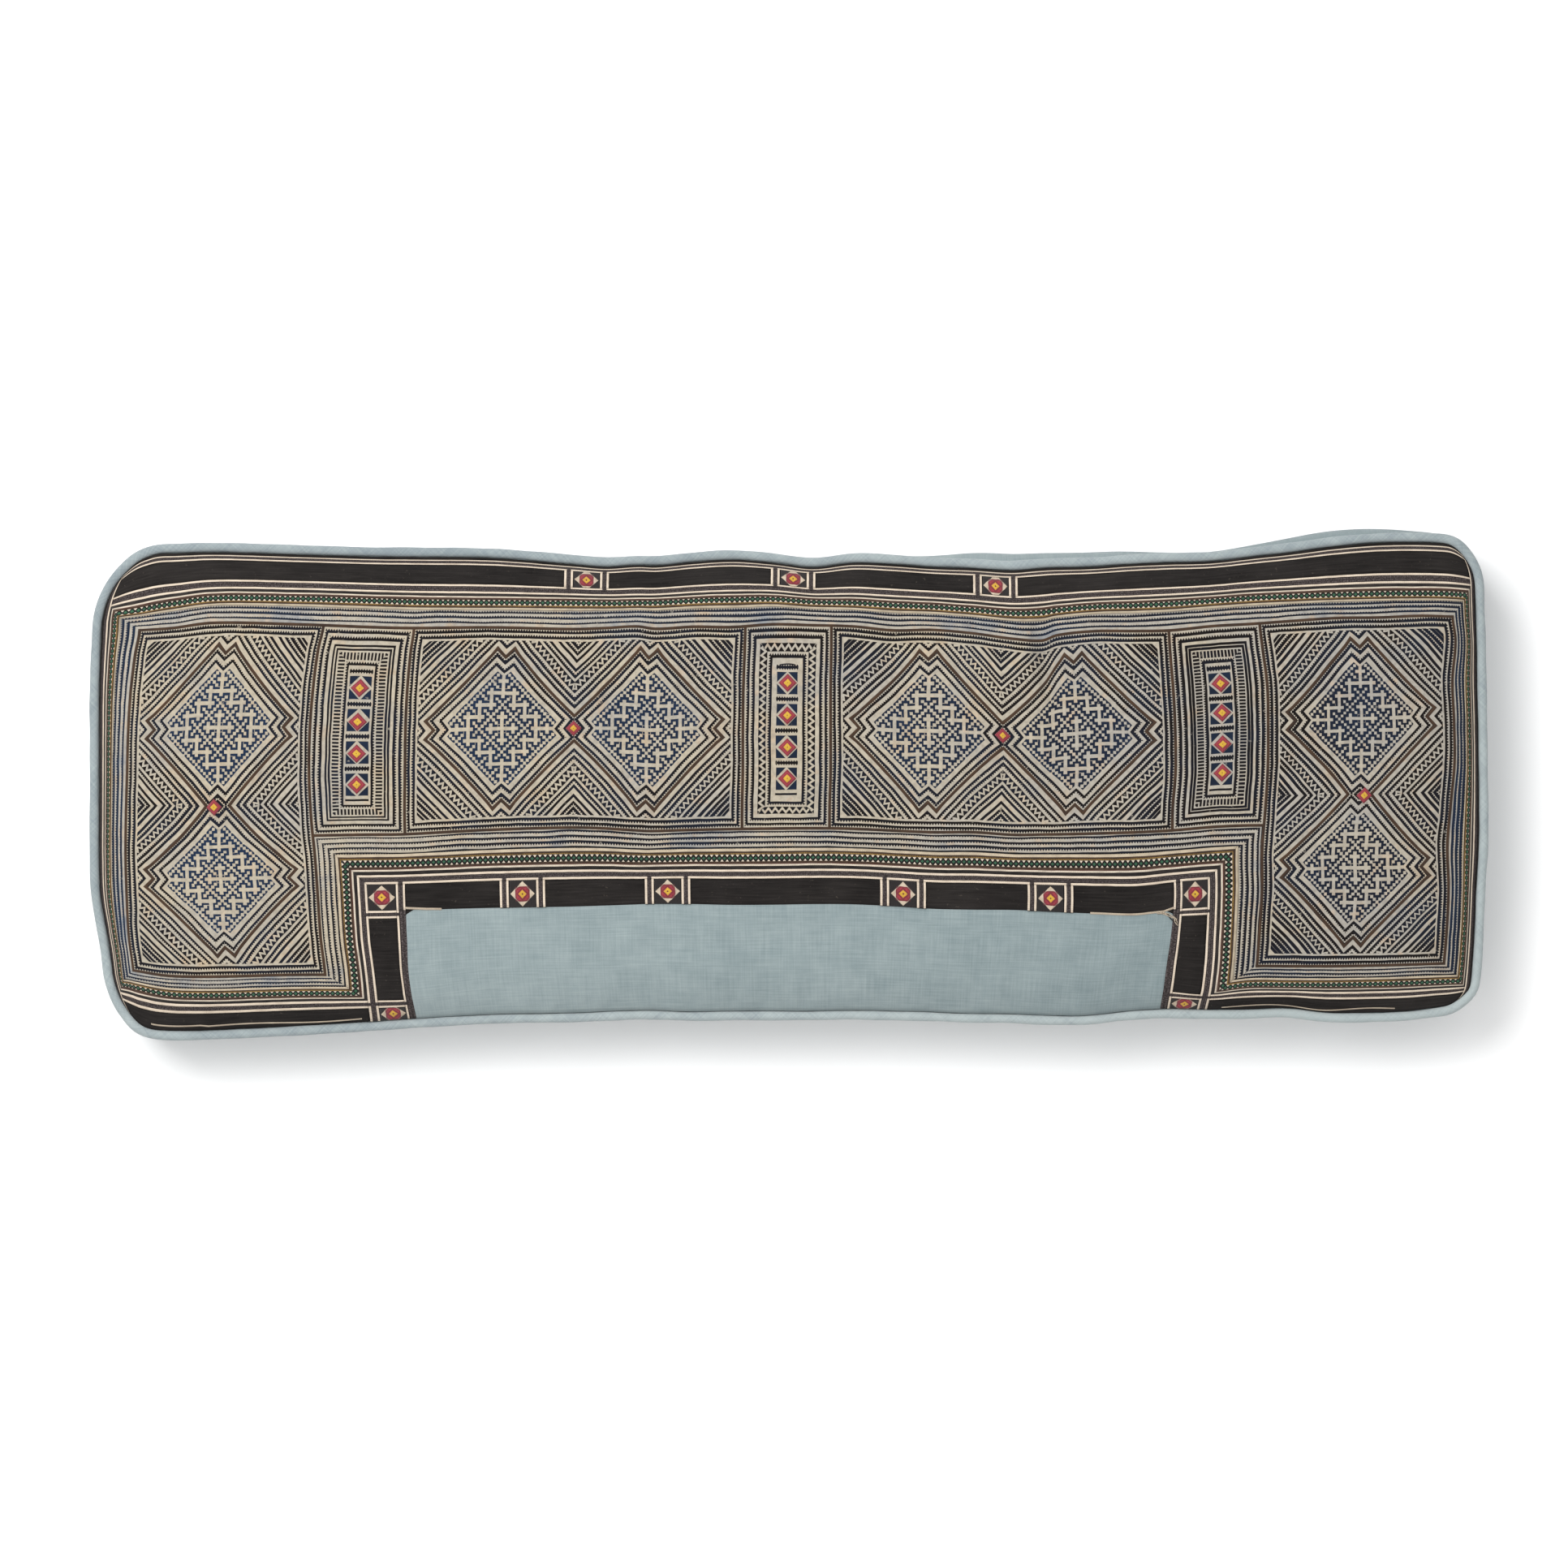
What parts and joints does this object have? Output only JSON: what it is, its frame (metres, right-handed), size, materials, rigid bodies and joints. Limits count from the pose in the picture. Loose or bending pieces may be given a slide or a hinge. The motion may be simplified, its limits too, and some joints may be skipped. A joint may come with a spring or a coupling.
{
  "type": "bolster cushion",
  "caption": "Long box-edge bolster cushion lying on its back, with piped welts and an upside-down U of old batik cloth, tapes and braid on its face.",
  "frame": {"origin": "centre of the back face, on the surface that the cushion lies on", "axes": "+X along the cushion, +Y across it towards the edge with the long black band, +Z out of its decorated face"},
  "size_m": [1.0144, 0.3708, 0.1014],
  "materials": {
    "plain_cloth": "matt grey-blue plain weave",
    "black_cloth": "matt black plain weave",
    "batik_cloth": "matt hemp with indigo batik pattern",
    "tape": "matt narrow cloth with white edges",
    "braid": "green braid with a slight sheen",
    "embroidery": "rose and yellow stitches with a slight sheen"
  },
  "bodies": {
    "root": {"cushion_body": "plain_cloth", "welt_front": "plain_cloth", "welt_back": "plain_cloth", "infill_panel": "plain_cloth", "batik_cloth": "batik_cloth", "braid": "braid", "tape_border": "tape", "diamond_block_left": "embroidery", "diamond_block_right": "embroidery", "diamond_column_1_1": "embroidery", "diamond_column_1_2": "embroidery", "diamond_column_1_3": "embroidery", "diamond_column_1_4": "embroidery", "diamond_column_2_1": "embroidery", "diamond_column_2_2": "embroidery", "diamond_column_2_3": "embroidery", "diamond_column_2_4": "embroidery", "diamond_column_3_1": "embroidery", "diamond_column_3_2": "embroidery", "diamond_column_3_3": "embroidery", "diamond_column_3_4": "embroidery", "diamond_panel_1": "embroidery", "diamond_panel_2": "embroidery", "foot_band_left": "black_cloth", "foot_band_right": "black_cloth", "leg_left": "black_cloth", "leg_right": "black_cloth", "notch_band": "black_cloth", "patch_foot_left": "embroidery", "patch_foot_right": "embroidery", "patch_notch_1": "embroidery", "patch_notch_2": "embroidery", "patch_notch_3": "embroidery", "patch_notch_4": "embroidery", "patch_notch_5": "embroidery", "patch_notch_6": "embroidery", "patch_top_1": "embroidery", "patch_top_2": "embroidery", "patch_top_3": "embroidery", "tie_notch_1": "tape", "tie_notch_2": "tape", "tie_notch_3": "tape", "tie_notch_4": "tape", "tie_notch_5": "tape", "tie_notch_6": "tape", "tie_notch_7": "tape", "tie_notch_8": "tape", "tie_top_1": "tape", "tie_top_2": "tape", "tie_top_3": "tape", "tie_top_4": "tape", "tie_top_5": "tape", "tie_top_6": "tape", "top_band": "black_cloth"}
  },
  "joints": []
}
